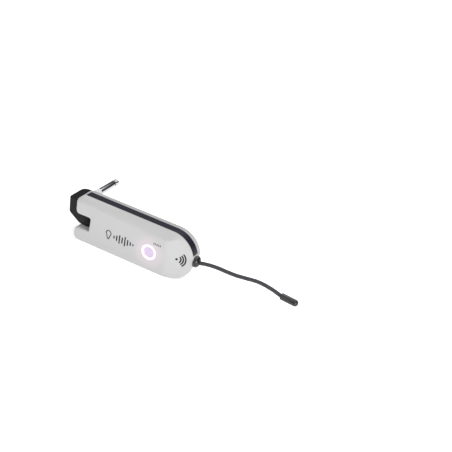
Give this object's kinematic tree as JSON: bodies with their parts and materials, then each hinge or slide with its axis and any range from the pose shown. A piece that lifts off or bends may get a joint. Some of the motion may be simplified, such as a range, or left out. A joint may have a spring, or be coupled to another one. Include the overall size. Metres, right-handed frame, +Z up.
{
  "type": "wireless guitar transmitter",
  "caption": "Plug-in wireless guitar transmitter: flat white housing with a dark band, lit round button, swivelling arm with a 6.35 mm mono plug, and a flexible whip antenna.",
  "frame": {"origin": "centre of the plug's shoulder, where the metal starts", "axes": "+Y along the plug to its tip, +X from the plug towards the antenna, +Z up from the housing's foot"},
  "size_m": [0.2284, 0.0783, 0.042],
  "materials": {
    "white_shell": "satin moulded",
    "band": "satin",
    "ring": "translucent diffuser",
    "button": "translucent satin",
    "board": "solder mask",
    "component_steel": "plated",
    "led": "moulded",
    "cell": "foil pouch",
    "foam": "foam",
    "screw_steel": "blackened",
    "pin_steel": "ground",
    "lead_grey": "jacket",
    "lead_red": "jacket",
    "brass": "turned",
    "antenna_black": "moulded",
    "antenna_grey": "jacket",
    "arm_black": "satin",
    "washer": "low friction",
    "collar": "satin",
    "plug_chrome": "polished nickel",
    "insulator": "moulded"
  },
  "bodies": {
    "housing": {"front_shell": "white_shell", "rear_shell": "white_shell", "side_band": "band", "light_ring": "ring", "main_board": "board", "tact_switch": "component_steel", "ring_leds": "led", "radio_shield": "component_steel", "battery": "cell", "battery_pad": "foam", "charge_socket": "component_steel", "shell_screws": "screw_steel", "hinge_pin": "pin_steel", "signal_lead": "lead_grey", "antenna_bush": "brass", "antenna_lead": "lead_grey", "antenna_knob": "antenna_black", "antenna_wire": "antenna_grey", "antenna_tip": "antenna_grey"},
    "power_button": {"button_cap": "button"},
    "plug_arm": {"arm_body": "arm_black", "arm_cover": "arm_black", "arm_screws": "screw_steel", "friction_washers": "washer", "plug_collar": "collar", "plug_sleeve": "plug_chrome", "plug_insulator": "insulator", "plug_tip": "plug_chrome", "plug_rod": "brass", "plug_liner": "washer", "solder_tags": "brass", "arm_lead": "lead_red"}
  },
  "joints": [
    {"name": "arm_swivel", "type": "hinge", "parent": "housing", "child": "plug_arm", "pos_m": [0.0135, -0.033, 0], "axis": [0, 0, 1], "range_deg": [-90, 0]},
    {"name": "power_press", "type": "slide", "parent": "housing", "child": "power_button", "axis": [0, 1, 0], "range_m": [0, 0.0005], "stiffness_N_per_m": 1500, "springref_m": -0.0005}
  ]
}
